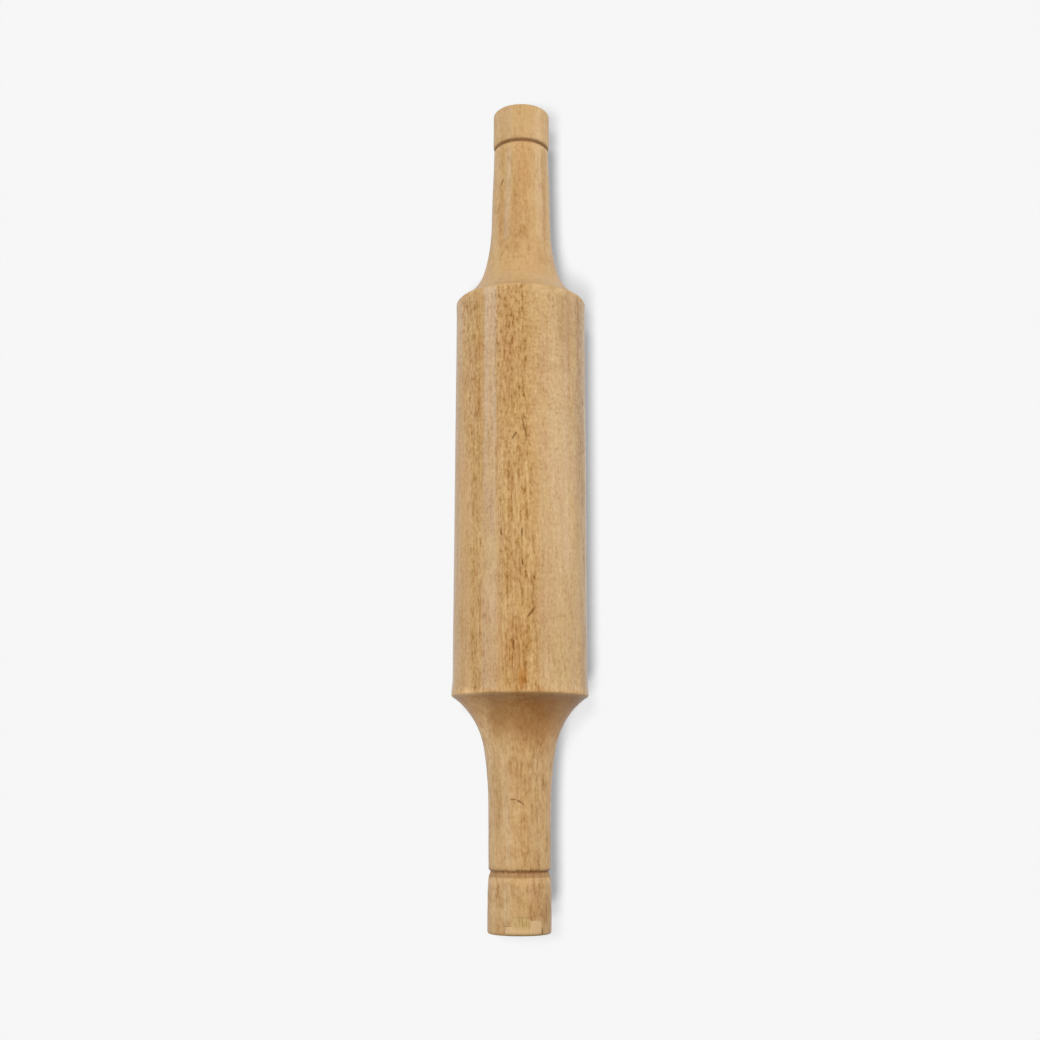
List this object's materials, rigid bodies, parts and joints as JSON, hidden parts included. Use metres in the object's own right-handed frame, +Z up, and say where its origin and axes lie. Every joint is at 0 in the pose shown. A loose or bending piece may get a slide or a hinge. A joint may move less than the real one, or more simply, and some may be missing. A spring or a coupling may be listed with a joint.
{
  "type": "rolling pin",
  "caption": "Straight-barrelled wooden rolling pin with fixed turned handles, grooved collars and a small let-in patch at one end.",
  "frame": {"origin": "middle of the pin's length, on the surface that the barrel rests on, straight below the turning axis", "axes": "+Y along the turning axis towards the back handle, whose groove is the narrow one; +Z up through the middle of the barrel, so the axis is 25 mm above the origin; +X to the right"},
  "size_m": [0.05, 0.317, 0.05],
  "materials": {
    "pin_wood": "satin",
    "patch_wood": "matte"
  },
  "bodies": {
    "root": {"turned_pin": "pin_wood", "end_patch": "patch_wood"}
  },
  "joints": []
}
